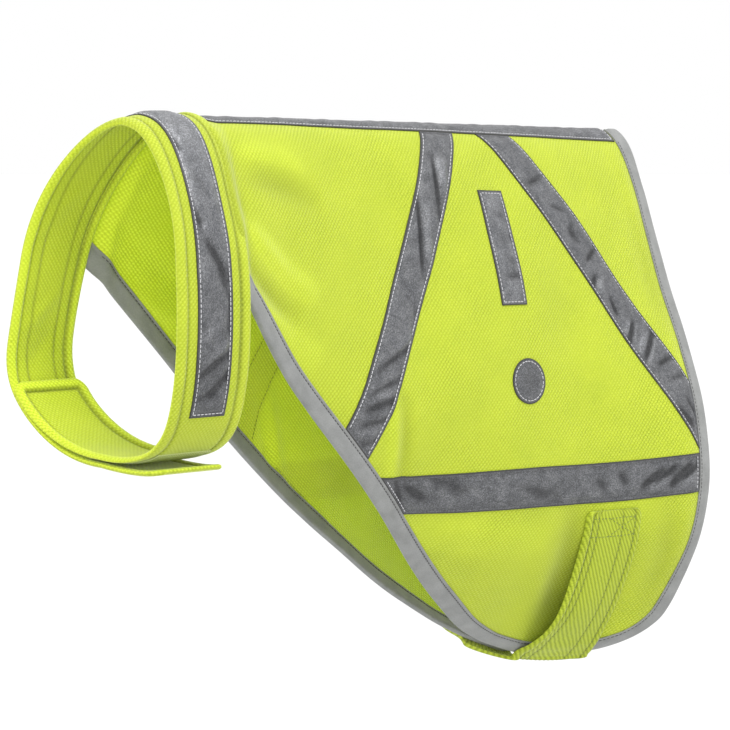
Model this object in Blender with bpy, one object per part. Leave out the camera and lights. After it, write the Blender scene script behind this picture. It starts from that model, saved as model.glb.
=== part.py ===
"""A dog safety vest as it hangs on a general barrel-shaped back, with nobody in it.

The coat is two halves joined under the tape along the spine. A point of the coat is given by x, its place
along the spine, and by its depth, the distance down the cloth from the spine. Every piece on the coat is cut
in these two flat measures and is then carried to the cloth, moved out by its own height above it.

Sizes are in millimetres and are turned into metres when a mesh is made. The head is towards -X, the tail
towards +X, the dog's left side is -Y. The origin is under the cloth in the middle of the back.
"""

from collections import namedtuple

import bmesh
import bpy
import numpy as np

MM = 0.001

# Cloth and webbing walls, the gap that pieces keep at a seam, and the one under a piece that lies on cloth
CLOTH_WALL = 1.5
TAPE_WALL = 1.0
BAND_WALL = 2.0
STRAP_WALL = 2.0
GAP = 0.3
LAID_GAP = 0.6

# How far the cloth is cut back from the outside of the binding
TRIM = TAPE_WALL + 3 * GAP

# Widths of the strips
TAPE = 25
BINDING = 13
BAND = 52
STRAP = 40

# The spine line: height of the cloth over the origin, and its fall towards the tail
BACK_HEIGHT = 1.6
BACK_FALL = 0.0155
NECK_X = -193
TAIL_X = 200

# Cross sections of the coat: the slope of the cloth in degrees below level, at seven depths
Section = namedtuple("Section", "x d0 d30 d80 d150 d230 d310 d420")
DEPTHS = (0, 30, 80, 150, 230, 310, 420)
SECTIONS = (
    Section(-175, 4, 44, 69, 98, 113, 113, 125),
    Section(-130, 0, 56, 77, 89, 111, 113, 136),
    Section(-40, 3, 66, 77, 78, 107, 130, 145),
    Section(70, 15, 62, 70, 81, 89, 128, 130),
    Section(190, 29, 62, 71, 66, 84, 112, 114),
)

# The finished edge of one half, from the neck corner down the chest to the belly and up to the tail
EdgePoint = namedtuple("EdgePoint", "x depth")
EDGE = (
    EdgePoint(-193, 112),
    EdgePoint(-132, 175),
    EdgePoint(-64, 243),
    EdgePoint(17, 325),
    EdgePoint(48, 352),
    EdgePoint(75, 366),
    EdgePoint(108, 373),
    EdgePoint(141, 369),
    EdgePoint(167, 358),
    EdgePoint(184, 338),
    EdgePoint(195, 270),
    EdgePoint(201, 127),
    EdgePoint(200, 0),
)

# Where the binding comes out from under the neck band, which sits a little turned
BINDING_START = {"left": -171, "right": -186}

# The warning triangle: where its two slanted tapes leave the spine, and their slant from upright
FRONT_TAPE_X = 26
FRONT_TAPE_SLANT = 28.5
REAR_TAPE_X = 61
REAR_TAPE_SLANT = 32
LOW_TAPE_DEPTH = 226

# The bar and the dot inside the triangle
BAR_X = 46
BAR_DEPTH = 53
BAR_SIZE = (21, 73)
DOT_X = 51
DOT_DEPTH = 173
DOT_RADIUS = 14

# The belly strap: its middle at the left belly edge, how much further forward its sewn end is, how far forward
# it slants to the right flank, its sewn end, how far it bows off the flank on its way down, how much more the
# bow grows for each millimetre towards its front border, and how round it turns under the belly
STRAP_X = 123
STRAP_LEAN = 5
STRAP_SLANT = 32
STRAP_DEPTH = 256
STRAP_BOW = 7.5
STRAP_TWIST = 0.22
STRAP_PULL = 14

# The neck band below the neck corners: slopes of its left and right side, by depth from the nape
NeckRow = namedtuple("NeckRow", "depth left right")
SEWN_DEPTH = 110
HALF_RING = 262
NECK_ROWS = (
    NeckRow(150, 92, 84),
    NeckRow(190, 112, 130),
    NeckRow(230, 164, 158),
    NeckRow(HALF_RING, 188, 178),
)

# The band's middle line along x: at 106 mm down, its lean and bend with height, and its turn to one side
BAND_X = -211.5
BAND_LEVEL = -94
BAND_LEAN = 0.083
BAND_BEND = 0.00112
BAND_TURN = -0.125

# The right side of the band opens towards the tail
BAND_FLARE = 0.15
FLARE_FROM, FLARE_TO = 40, 250

# The band's front edge dips over the nape
NAPE_DIP = 4.4
DIP_REACH = 90

# The band's ends lie on each other under the throat: each end's reach past the lowest point
LEFT_REACH = 84
RIGHT_REACH = 43
LAYER_SHIFT = 1.8
TIP_DROP = 8
NECK_TAPE_DEPTH = 192
HOOK_FROM, HOOK_TO, HOOK_WIDTH = 208, 256, 38

# Rows of the meshes down the coat, closer at the shoulder and the belly, and steps along strips
SHOULDER_ROWS, SIDE_ROWS, BELLY_ROWS = 8, 20, 7
SHOULDER_DEPTH, SIDE_DEPTH = 60, 310
COLUMNS = 20
STRIP_STEP = 13


def smooth(knots, values, at):
    """Values on a cubic through the knots that never swings past them."""
    knots = np.asarray(knots, float)
    values = np.asarray(values, float)
    at = np.clip(at, knots[0], knots[-1])
    step = np.diff(knots).reshape(-1, *[1] * (values.ndim - 1))
    rise = np.diff(values, axis=0) / step
    both = rise[1:] * rise[:-1]
    middle = np.where(both > 0, 2 * both / np.where(both > 0, rise[1:] + rise[:-1], 1), 0)
    slope = np.concatenate([rise[:1], middle, rise[-1:]])
    cell = np.clip(np.searchsorted(knots, at) - 1, 0, len(knots) - 2)
    width = step[cell]
    t = (at - knots[cell]).reshape(width.shape) / width
    start = values[cell] * (1 + 2 * t) + width * slope[cell] * t
    end = values[cell + 1] * (3 - 2 * t) - width * slope[cell + 1] * (1 - t)
    return start * (1 - t) ** 2 + end * t ** 2


def run(slopes, step):
    """Outward and downward travel along cloth whose slope is known at even steps."""
    angle = np.radians(slopes)
    across = np.cumsum((np.cos(angle[1:]) + np.cos(angle[:-1])) / 2 * step, axis=0)
    down = np.cumsum((np.sin(angle[1:]) + np.sin(angle[:-1])) / 2 * step, axis=0)
    zero = np.zeros_like(across[:1])
    return np.concatenate([zero, across]), np.concatenate([zero, down])


# The coat's form, worked out once on a fine grid of x and depth
X_STEP = 5
DEPTH_STEP = 2.5
X_GRID = np.arange(-230, 241, X_STEP)
DEPTH_GRID = np.arange(0, 420.1, DEPTH_STEP)
STATION_SLOPES = smooth([row.x for row in SECTIONS], [row[1:] for row in SECTIONS], X_GRID)
SLOPES = smooth(DEPTHS, STATION_SLOPES.T, DEPTH_GRID)
ACROSS, DOWN = run(SLOPES, DEPTH_STEP)


def read_grid(grid, x, depth):
    """The value between the grid's four nearest points."""
    column = np.clip((x - X_GRID[0]) / X_STEP, 0, len(X_GRID) - 1.001)
    row = np.clip(depth / DEPTH_STEP, 0, len(DEPTH_GRID) - 1.001)
    i = row.astype(int)
    j = column.astype(int)
    v = row - i
    u = column - j
    upper = grid[i, j] * (1 - u) + grid[i, j + 1] * u
    lower = grid[i + 1, j] * (1 - u) + grid[i + 1, j + 1] * u
    return upper * (1 - v) + lower * v


def coat(x, depth):
    """A point of the coat's outer face on the left side; a depth below zero is on the right."""
    x, depth = np.broadcast_arrays(np.asarray(x, float), np.asarray(depth, float))
    across = read_grid(ACROSS, x, abs(depth))
    down = read_grid(DOWN, x, abs(depth))
    return np.stack([x, -np.sign(depth) * across, BACK_HEIGHT - BACK_FALL * x - down], -1)


def unit(vector):
    return vector / np.linalg.norm(vector, axis=-1, keepdims=True)


def lifted(x, depth, height):
    """A point of the coat moved out by a height."""
    reach = 2.0
    along = coat(x + reach, depth) - coat(x - reach, depth)
    downward = coat(x, depth + reach) - coat(x, depth - reach)
    return coat(x, depth) + unit(np.cross(downward, along)) * np.asarray(height)[..., None]


def mirrored(points, side):
    """The left side's points as they are, or turned over to the right side."""
    return points if side == "left" else points * (1, -1, 1)


def edge_line(inset):
    """The finished edge moved inwards over the flat cloth by an inset, as many close points."""
    corners = np.array(EDGE, float)
    length = np.concatenate([[0], np.cumsum(np.linalg.norm(np.diff(corners, axis=0), axis=1))])
    places = np.linspace(0, length[-1], 400)
    line = smooth(length, corners, places)
    along = np.gradient(line, axis=0)
    inward = unit(np.stack([along[:, 1], -along[:, 0]], -1))
    return line + inward * inset


def edge_span(inset, depth):
    """The x of the chest edge and of the tail edge at a depth, both moved inwards by an inset."""
    line = edge_line(inset)
    lowest = line[:, 1].argmax()
    chest = line[:lowest + 1]
    tail = line[lowest:][::-1]
    front = np.where(depth < chest[0, 1], NECK_X, np.interp(depth, chest[:, 1], chest[:, 0]))
    return front, np.interp(depth, tail[:, 1], tail[:, 0])


def cloth_rows():
    """The depths of the rows of points that the coat and all that lies on it are made from."""
    bottom = edge_line(TRIM)[:, 1].max() - GAP
    shoulder = np.linspace(0, SHOULDER_DEPTH, SHOULDER_ROWS + 1)
    flank = np.linspace(SHOULDER_DEPTH, SIDE_DEPTH, SIDE_ROWS + 1)[1:]
    turn = np.linspace(0, np.pi / 2, BELLY_ROWS + 1)[1:]
    return np.concatenate([shoulder, flank, SIDE_DEPTH + (bottom - SIDE_DEPTH) * np.sin(turn)])


def rows_between(start, stop):
    """Those rows from one depth to another, with both ends."""
    margin = 1
    return np.array([start, *[row for row in cloth_rows() if start + margin < row < stop - margin], stop])


def lowest_depth(inset, x):
    """The depth of the belly edge under an x."""
    line = edge_line(inset)
    chest_to_tail = line[:line[:, 0].argmax()]
    return np.interp(x, chest_to_tail[:, 0], chest_to_tail[:, 1])


# Meshes
def material(name, colour, roughness):
    made = bpy.data.materials.new(name)
    made.use_nodes = True
    shader = made.node_tree.nodes["Principled BSDF"]
    shader.inputs["Base Color"].default_value = (*colour, 1)
    shader.inputs["Roughness"].default_value = roughness
    return made


def keep(name, mesh, look):
    for face in mesh.faces:
        face.smooth = True
    data = bpy.data.meshes.new(name)
    mesh.to_mesh(data)
    mesh.free()
    data.materials.append(look)
    made = bpy.data.objects.new(name, data)
    COLLECTION.objects.link(made)
    data.set_sharp_from_angle(angle=0.7)
    return made


def add_wall(name, inner, outer, look, leaning=lambda i, j, rows, columns: False):
    """Cloth between two grids of points, whose rows go down the left side and columns towards the tail.

    A cell is split by the line from its first corner to its third. A leaning cell is split the other way.
    """
    rows, columns = outer.shape[:2]
    mesh = bmesh.new()
    under = [[mesh.verts.new(point * MM) for point in row] for row in inner]
    over = [[mesh.verts.new(point * MM) for point in row] for row in outer]
    for i in range(rows - 1):
        for j in range(columns - 1):
            cell = ((i, j), (i + 1, j), (i + 1, j + 1), (i, j + 1))
            if leaning(i, j, rows, columns):
                cell = cell[1:] + cell[:1]
            mesh.faces.new([over[m][n] for m, n in cell])
            mesh.faces.new([under[m][n] for m, n in (cell[0], *cell[:0:-1])])
    rim = [(0, j) for j in range(columns - 1)]
    rim += [(i, columns - 1) for i in range(rows - 1)]
    rim += [(rows - 1, j) for j in range(columns - 1, 0, -1)]
    rim += [(i, 0) for i in range(rows - 1, 0, -1)]
    for (i, j), (m, n) in zip(rim, rim[1:] + rim[:1]):
        mesh.faces.new((over[i][j], over[m][n], under[m][n], under[i][j]))
    return keep(name, mesh, look)


def add_loft(name, rings, look):
    """A bar of changing section: each ring is one section, and the ends are closed."""
    mesh = bmesh.new()
    loops = [[mesh.verts.new(point * MM) for point in ring] for ring in rings]
    size = len(loops[0])
    for first, second in zip(loops, loops[1:]):
        for k in range(size):
            after = (k + 1) % size
            mesh.faces.new((first[k], first[after], second[after], second[k]))
    mesh.faces.new(loops[0][::-1])
    mesh.faces.new(loops[-1])
    bmesh.ops.recalc_face_normals(mesh, faces=mesh.faces)
    return keep(name, mesh, look)


def chest_half(i, j, rows, columns):
    """Whether a cell is on the chest side, where the rows lean back with the edge."""
    return j < columns // 2


def on_coat(name, side, x, depth, heights, look):
    """A piece of the coat between two heights over its outer face."""
    inner, outer = (mirrored(lifted(x, depth, np.full(x.shape, height)), side) for height in heights)
    if side == "left":
        add_wall(name, inner, outer, look, chest_half)
    else:
        add_wall(name, inner[:, ::-1], outer[:, ::-1], look, chest_half)


# Pieces of the coat
def back_panel(side):
    """One half of the coat, trimmed to the fold of the binding."""
    depth = cloth_rows()
    depth[0] = GAP / 2
    front, rear = edge_span(TRIM, depth)
    share = np.linspace(0, 1, COLUMNS + 1)
    x = front[:, None] + (rear - front)[:, None] * share
    on_coat(f"back_panel_{side}", side, x, depth[:, None] + 0 * x, (-CLOTH_WALL, 0), CLOTH)


def edge_binding(side):
    """The folded tape over the cut edge: a U whose two leaves hold the cloth."""
    top = LAID_GAP + TAPE_WALL
    under = -CLOTH_WALL - LAID_GAP
    leaf_middle = BINDING / 2
    profile = (
        (BINDING, top), (leaf_middle, top), (0, top),
        (0, under - TAPE_WALL), (leaf_middle, under - TAPE_WALL), (BINDING, under - TAPE_WALL),
        (BINDING, under), (leaf_middle, under), (TAPE_WALL + GAP, under),
        (TAPE_WALL + GAP, LAID_GAP), (leaf_middle, LAID_GAP), (BINDING, LAID_GAP),
    )
    outline = edge_line(0)
    lowest = outline[:, 1].argmax()
    index = np.arange(len(outline))
    rows = cloth_rows()
    first = np.interp(BINDING_START[side], outline[:lowest, 0], index[:lowest])
    chest = np.interp(rows, outline[:lowest, 1], index[:lowest])
    chest = [first, *chest[chest > first + 2]]
    tail = np.interp(rows[::-1], outline[lowest:][::-1, 1], index[lowest:][::-1])
    rings = []
    belly = np.linspace(chest[-1], tail[0], 7)[1:-1]
    for place in (*chest, *belly, *tail):
        ring = []
        for inset, height in profile:
            line = edge_line(inset)
            x, depth = (np.interp(place, index, line[:, k]) for k in (0, 1))
            ring.append(lifted(x, max(depth, GAP), height))
        ring = np.array(ring)
        ring[:, 1] = np.minimum(ring[:, 1], -GAP / 2)
        rings.append(mirrored(ring, side))
    add_loft(f"edge_binding_{side}", rings, BINDING_TAPE)


def to_binding(start, heading):
    """Where a straight line on the flat cloth comes up to the inner edge of the binding."""
    line = edge_line(BINDING + GAP)
    start = np.array(start, float)
    heading = unit(np.array(heading, float))
    across = np.array([-heading[1], heading[0]])
    offset = (line - start) @ across
    along = (line - start) @ heading
    crossing = [k for k in range(len(line) - 1) if offset[k] * offset[k + 1] <= 0 and along[k] > 0]
    k = min(crossing, key=lambda place: along[place])
    share = offset[k] / (offset[k] - offset[k + 1])
    return start + heading * (along[k] + share * (along[k + 1] - along[k]))


def patch(corners, shares, columns):
    """A grid of flat places between four corners: upper front, upper rear, lower front, lower rear."""
    down = np.array(shares)[:, None, None]
    over = np.linspace(0, 1, columns + 1)[None, :, None]
    upper_front, upper_rear, lower_front, lower_rear = (np.array(corner, float) for corner in corners)
    upper = upper_front * (1 - over) + upper_rear * over
    lower = lower_front * (1 - over) + lower_rear * over
    return upper * (1 - down) + lower * down


def lay(name, side, flat):
    """A flat piece of tape carried to the coat, just clear of the cloth."""
    on_coat(name, side, flat[..., 0], flat[..., 1], (LAID_GAP, LAID_GAP + TAPE_WALL), REFLECTIVE)


def slanted_tape(name, side, x, slant):
    """A tape of the triangle, from the spine tape down to the binding."""
    lean = np.tan(np.radians(slant))
    half = TAPE / 2 / np.cos(np.radians(slant))
    top = TAPE / 2 + GAP
    uppers = [(x + lean * top + edge, top) for edge in (-half, half)]
    lowers = [to_binding(upper, (lean, 1)) for upper in uppers]
    rows = rows_between(top, lowers[0][1])
    lay(f"{name}_{side}", side, patch(uppers + lowers, (rows - top) / (rows[-1] - top), 2))


def low_tape(side):
    middle = BAR_X
    ends = [
        [to_binding((middle, depth), (heading, 0)) for heading in (-1, 1)]
        for depth in (LOW_TAPE_DEPTH, LOW_TAPE_DEPTH + TAPE)
    ]
    columns = round((ends[0][1][0] - ends[0][0][0]) / STRIP_STEP)
    lay(f"lower_tape_{side}", side, patch(ends[0] + ends[1], (0, 0.5, 1), columns))


def bar(side):
    width, length = BAR_SIZE
    corners = [(BAR_X + over * width / 2, BAR_DEPTH + down * length) for down in (0, 1) for over in (-1, 1)]
    rows = rows_between(BAR_DEPTH, BAR_DEPTH + length)
    lay(f"bar_{side}", side, patch(corners, (rows - BAR_DEPTH) / length, 2))


def dot(side):
    """A disc: a square grid drawn in to a circle."""
    down, over = np.meshgrid(np.linspace(-1, 1, 7), np.linspace(-1, 1, 7), indexing="ij")
    x = DOT_X + DOT_RADIUS * over * np.sqrt(1 - down ** 2 / 2)
    depth = DOT_DEPTH + DOT_RADIUS * down * np.sqrt(1 - over ** 2 / 2)
    lay(f"dot_{side}", side, np.stack([x, depth], -1))


def spine_tape():
    """The tape over the seam along the back, from the neck band to the tail binding."""
    nape = BACK_HEIGHT - BACK_FALL * NECK_X
    front = band_x(-TAPE / 2, nape) + BAND / 2 + GAP
    rear = TAIL_X - BINDING - GAP
    half = TAPE / 2
    corners = ((front, -half), (rear, -half), (front, half), (rear, half))
    lay("spine_tape", "left", patch(corners, (0, 0.25, 0.5, 0.75, 1), 22))


def strap_flank(side, height):
    """A strap's stretch on one flank, from its sewn end to just past the belly edge."""
    over = np.linspace(-STRAP / 2, STRAP / 2, 4)
    x = STRAP_X + over
    if side == "right":
        x = x - STRAP_SLANT
    share = np.linspace(0, 1, 11)[:, None]
    depth = STRAP_DEPTH + share * (lowest_depth(0, x) + STRAP_WALL - STRAP_DEPTH)
    over_edge = LAID_GAP + TAPE_WALL + GAP
    bow = (STRAP_BOW - STRAP_TWIST * over) * np.sin(np.pi * share ** 1.4) ** 2
    clear = LAID_GAP + (over_edge - LAID_GAP) * share + bow
    x = x - STRAP_LEAN * (1 - share)
    return mirrored(lifted(x, depth, clear + height + 0 * x), side)


def belly_strap():
    """The webbing from the left flank, round under the belly, to the right flank."""
    faces = []
    for height in (0, STRAP_WALL):
        left, right = (strap_flank(side, height) for side in ("left", "right"))
        leave = unit(left[-1] - left[-2])
        arrive = unit(right[-2] - right[-1])
        gap = right[-1, :, 1:2] - left[-1, :, 1:2]
        pull = np.minimum(2 * gap, STRAP_PULL)
        t = np.linspace(0, 1, 9)[1:-1, None, None]
        bend = left[-1] * (1 + 2 * t) * (1 - t) ** 2 + right[-1] * (3 - 2 * t) * t ** 2
        bend += pull * (leave * t * (1 - t) ** 2 - arrive * t ** 2 * (1 - t))
        faces.append(np.concatenate([left, bend, right[::-1]]))
    add_wall("belly_strap", *faces, WEBBING)


# The neck band
def band_x(y, z):
    """The band's middle line along x at a place of its ring."""
    level = z - BAND_LEVEL
    return BAND_X + BAND_LEAN * level + BAND_BEND * level ** 2 + BAND_TURN * y


def ring_line():
    """The ring as y, z and outward direction, from the nape down the left side and up the right."""
    depth = np.arange(0, HALF_RING + 0.1, 2)
    sewn = SLOPES[:int(SEWN_DEPTH / DEPTH_STEP) + 1, np.searchsorted(X_GRID, NECK_X)]
    upper = np.interp(depth, DEPTH_GRID[:len(sewn)], sewn)
    halves = []
    for side, sign in (("left", -1), ("right", 1)):
        knots = [SEWN_DEPTH] + [row.depth for row in NECK_ROWS]
        slopes = [sewn[-1]] + [getattr(row, side) for row in NECK_ROWS]
        angle = np.where(depth <= SEWN_DEPTH, upper, smooth(knots, slopes, depth))
        across, down = run(angle, 2)
        halves.append(np.stack([sign * across, -down], -1))
    miss = (halves[1][-1] - halves[0][-1]) / 2
    share = np.clip((depth - SEWN_DEPTH) / (HALF_RING - SEWN_DEPTH), 0, 1)[:, None]
    ring = np.concatenate([halves[0] + miss * share, (halves[1] - miss * share)[-2::-1]])
    ring[:, 1] += BACK_HEIGHT - BACK_FALL * NECK_X
    along = np.roll(ring, -1, axis=0) - np.roll(ring, 1, axis=0)
    along[[0, -1]] = (-1, 0)
    outward = unit(np.stack([along[:, 1], -along[:, 0]], -1))
    return np.arange(len(ring)) * 2.0, ring, outward


def band_place(way, lift, over):
    """Points of the band's strip, by the way along it from the nape, below zero on the right.

    lift is the height over the middle of its wall, and over the distance across it from its middle.
    """
    places, ring, outward = ring_line()
    place = np.where(way < 0, places[-1] + way, way)
    past_side = np.clip((abs(way) - 120) / 70, 0, 1)
    past_bottom = np.clip((-way - HALF_RING) / RIGHT_REACH, 0, 1)
    shift = np.sign(-way) * LAYER_SHIFT * past_side ** 2 * (3 - 2 * past_side) + TIP_DROP * past_bottom ** 2
    y = np.interp(place, places, ring[:, 0])
    z = np.interp(place, places, ring[:, 1])
    out = unit(np.stack([np.interp(place, places, outward[:, k]) for k in (0, 1)], -1))
    flared = np.clip((-way - FLARE_FROM) / (FLARE_TO - FLARE_FROM), 0, 1)
    flare = BAND_FLARE * np.sin(np.pi * flared) ** 2
    near_nape = np.cos(np.pi / 2 * np.clip(way / DIP_REACH, -1, 1)) ** 2
    dip = NAPE_DIP * np.clip(-2 * over / BAND, 0, 1) ** 2 * near_nape
    height = GAP + BAND_WALL / 2 + shift + lift + flare * over - dip
    x = band_x(y, z) + over
    return np.stack([x, y + out[..., 0] * height, z + out[..., 1] * height], -1)


def band_strip(name, start, stop, width, lift, wall, look):
    """A strip of the band's form: its middle is lifted off the middle of the band's wall."""
    rows = cloth_rows()
    sewn = rows[rows < SEWN_DEPTH]
    free = np.arange(SEWN_DEPTH, HALF_RING + LEFT_REACH, STRIP_STEP)
    stations = np.concatenate([-free[::-1], -sewn[:0:-1], sewn, free])
    margin = 1
    way = np.array([start, *stations[(stations > start + margin) & (stations < stop - margin)], stop])[:, None]
    over = np.linspace(-width / 2, width / 2, 3)[None, :]
    faces = [band_place(way + 0 * over, lift + half, over + 0 * way) for half in (-wall / 2, wall / 2)]
    add_wall(name, *faces, look)


def neck_band():
    left_end = HALF_RING + LEFT_REACH
    right_end = -(HALF_RING + RIGHT_REACH)
    band_strip("neck_band", right_end, left_end, BAND, 0, BAND_WALL, CLOTH)
    on_face = BAND_WALL / 2 + GAP + TAPE_WALL / 2
    band_strip("neck_tape", -NECK_TAPE_DEPTH, NECK_TAPE_DEPTH, TAPE, on_face, TAPE_WALL, REFLECTIVE)
    band_strip("neck_hook_patch", HOOK_FROM, HOOK_TO, HOOK_WIDTH, on_face, TAPE_WALL, HOOK_TAPE)


for old in list(bpy.data.objects):
    bpy.data.objects.remove(old)

COLLECTION = bpy.data.collections.new("dog_safety_vest")
bpy.context.scene.collection.children.link(COLLECTION)

CLOTH = material("hi_vis_mesh", (0.62, 0.80, 0.05), 0.8)
REFLECTIVE = material("reflective_tape", (0.16, 0.17, 0.18), 0.4)
BINDING_TAPE = material("grey_binding", (0.32, 0.33, 0.33), 0.6)
WEBBING = material("hi_vis_webbing", (0.60, 0.78, 0.06), 0.75)
HOOK_TAPE = material("hook_tape", (0.75, 0.85, 0.45), 0.7)

for side in ("left", "right"):
    back_panel(side)
    edge_binding(side)
    slanted_tape("front_tape", side, FRONT_TAPE_X, -FRONT_TAPE_SLANT)
    slanted_tape("rear_tape", side, REAR_TAPE_X, REAR_TAPE_SLANT)
    low_tape(side)
    bar(side)
    dot(side)
spine_tape()
belly_strap()
neck_band()
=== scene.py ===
"""The looks of the dog safety vest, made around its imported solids.

Cloth, tapes and bindings are cut in flat measures, in millimetres: x along the spine and depth down the cloth
from it. They are then carried to the vest's form, which is the form of the solids, and get their creases,
rolled edges and stitches there. The head is towards -X and the dog's left side is -Y.
"""

import math
from collections import namedtuple

import bpy
import numpy as np
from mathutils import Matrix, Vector


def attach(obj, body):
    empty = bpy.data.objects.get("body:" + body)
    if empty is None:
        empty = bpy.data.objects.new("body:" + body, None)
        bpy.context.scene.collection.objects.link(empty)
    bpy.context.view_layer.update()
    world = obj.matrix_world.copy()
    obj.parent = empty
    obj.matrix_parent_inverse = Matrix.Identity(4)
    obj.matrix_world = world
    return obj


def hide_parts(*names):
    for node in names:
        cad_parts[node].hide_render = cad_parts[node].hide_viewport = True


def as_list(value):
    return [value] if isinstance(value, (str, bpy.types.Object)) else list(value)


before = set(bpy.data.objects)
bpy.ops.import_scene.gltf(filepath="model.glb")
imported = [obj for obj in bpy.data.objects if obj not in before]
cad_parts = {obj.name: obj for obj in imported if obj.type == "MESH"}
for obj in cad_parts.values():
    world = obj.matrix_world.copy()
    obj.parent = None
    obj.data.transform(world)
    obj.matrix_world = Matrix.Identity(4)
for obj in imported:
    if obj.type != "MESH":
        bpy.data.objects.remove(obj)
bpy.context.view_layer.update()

MM = 0.001

# Camera: its turn from straight at the left flank, its height angle, and its distance to the target
CAMERA_TURN = 43.72
CAMERA_RISE = 4.42
CAMERA_DISTANCE = 1.698
CAMERA_TARGET = Vector((-0.029, 0, -0.144))
LENS = 138.08
SENSOR = 36
FLOOR_LEVEL = -0.60
FLOOR_RADIUS = 60

# The soft lights: where each comes from, its strength and how many degrees of the sky it fills. The front one
# reaches the inside through the neck ring.
Sunlight = namedtuple("Sunlight", "name source strength spread")
LIGHTS = (
    Sunlight("key", (-0.15, -0.48, 0.86), 2.0, 35),
    Sunlight("front", (-0.66, -0.74, 0.02), 1.1, 25),
)

# Sizes of the solids, in millimetres and degrees
TAPE_WALL = 1.0
BAND_WALL = 2.0
STRAP_WALL = 2.0
GAP = 0.3
LAID_GAP = 0.6
TRIM = TAPE_WALL + 3 * GAP
TAPE = 25
BINDING = 13
BAND = 52
STRAP = 40
BACK_HEIGHT = 1.6
BACK_FALL = 0.0155
NECK_X = -193
TAIL_X = 200

Section = namedtuple("Section", "x d0 d30 d80 d150 d230 d310 d420")
DEPTHS = (0, 30, 80, 150, 230, 310, 420)
SECTIONS = (
    Section(-175, 4, 44, 69, 98, 113, 113, 125),
    Section(-130, 0, 56, 77, 89, 111, 113, 136),
    Section(-40, 3, 66, 77, 78, 107, 130, 145),
    Section(70, 15, 62, 70, 81, 89, 128, 130),
    Section(190, 29, 62, 71, 66, 84, 112, 114),
)
EdgePoint = namedtuple("EdgePoint", "x depth")
EDGE = (
    EdgePoint(-206, 99),
    EdgePoint(-193, 112),
    EdgePoint(-132, 175),
    EdgePoint(-64, 243),
    EdgePoint(17, 325),
    EdgePoint(48, 352),
    EdgePoint(75, 366),
    EdgePoint(108, 373),
    EdgePoint(141, 369),
    EdgePoint(167, 358),
    EdgePoint(184, 338),
    EdgePoint(195, 270),
    EdgePoint(201, 127),
    EdgePoint(200, 0),
)
BINDING_START = {"left": -184, "right": -198}
FRONT_TAPE_X = 26
FRONT_TAPE_SLANT = 28.5
REAR_TAPE_X = 61
REAR_TAPE_SLANT = 32
LOW_TAPE_DEPTH = 226
BAR_X = 46
BAR_DEPTH = 53
BAR_SIZE = (21, 73)
DOT_X = 51
DOT_DEPTH = 173
DOT_RADIUS = 14
STRAP_X = 123
STRAP_LEAN = 5
STRAP_SLANT = 32
STRAP_DEPTH = 256
STRAP_BOW = 7.5
STRAP_TWIST = 0.22
STRAP_PULL = 9
STRAP_FLANK = 105

NeckRow = namedtuple("NeckRow", "depth left right")
SEWN_DEPTH = 110
HALF_RING = 262
NECK_ROWS = (
    NeckRow(150, 92, 84),
    NeckRow(190, 112, 130),
    NeckRow(230, 164, 158),
    NeckRow(HALF_RING, 188, 178),
)
BAND_X = -211.5
BAND_LEVEL = -94
BAND_LEAN = 0.083
BAND_BEND = 0.00112
BAND_TURN = -0.125
BAND_FLARE = 0.15
FLARE_FROM, FLARE_TO = 40, 250
NAPE_DIP = 4.4
DIP_REACH = 90
LEFT_REACH = 84
RIGHT_REACH = 43
LAYER_SHIFT = 1.8
TIP_DROP = 8
NECK_TAPE_DEPTH = 192
HOOK_FROM, HOOK_TO, HOOK_WIDTH = 221, 256, 38

# Thicknesses shown: real cloth and tape are thinner than the solids
CLOTH_SHOWN = 1.0
TAPE_LIFT = 0.25
TAPE_SHOWN = 0.55
TAPE_UNDER = 0.08
SEAM_INSET = 1.9
SEAM_HEIGHT = TAPE_LIFT + TAPE_SHOWN - 0.08
BINDING_SHOWN = 12

# The coat's neck edge is sewn over the band's rear border, and lower down on the left it goes under it: where
# that change starts and how long it takes. The band leans in at the left shoulder.
COAT_LAP = 7
LAP_HEIGHT = 3.0
LAP_ENDS = {"left": (84, 22), "right": (124, 8)}
LAP_FROM = 26
TUCK = 2.3
LEAN_IN = 4.5

# How far the hem rolls in at the tail and at the belly, and over what distance
TAIL_CURL = (4.8, 22)
BELLY_CURL = (3.2, 16)

SIDES = {"left": 1, "right": -1}


# The form of the coat
def smooth(knots, values, at):
    """Values on a cubic through the knots that never swings past them."""
    knots = np.asarray(knots, float)
    values = np.asarray(values, float)
    at = np.clip(at, knots[0], knots[-1])
    step = np.diff(knots).reshape(-1, *[1] * (values.ndim - 1))
    rise = np.diff(values, axis=0) / step
    both = rise[1:] * rise[:-1]
    middle = np.where(both > 0, 2 * both / np.where(both > 0, rise[1:] + rise[:-1], 1), 0)
    slope = np.concatenate([rise[:1], middle, rise[-1:]])
    cell = np.clip(np.searchsorted(knots, at) - 1, 0, len(knots) - 2)
    width = step[cell]
    t = (at - knots[cell]).reshape(width.shape) / width
    start = values[cell] * (1 + 2 * t) + width * slope[cell] * t
    end = values[cell + 1] * (3 - 2 * t) - width * slope[cell + 1] * (1 - t)
    return start * (1 - t) ** 2 + end * t ** 2


def run(slopes, step):
    """Outward and downward travel along cloth whose slope is known at even steps."""
    angle = np.radians(slopes)
    across = np.cumsum((np.cos(angle[1:]) + np.cos(angle[:-1])) / 2 * step, axis=0)
    down = np.cumsum((np.sin(angle[1:]) + np.sin(angle[:-1])) / 2 * step, axis=0)
    zero = np.zeros_like(across[:1])
    return np.concatenate([zero, across]), np.concatenate([zero, down])


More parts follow.
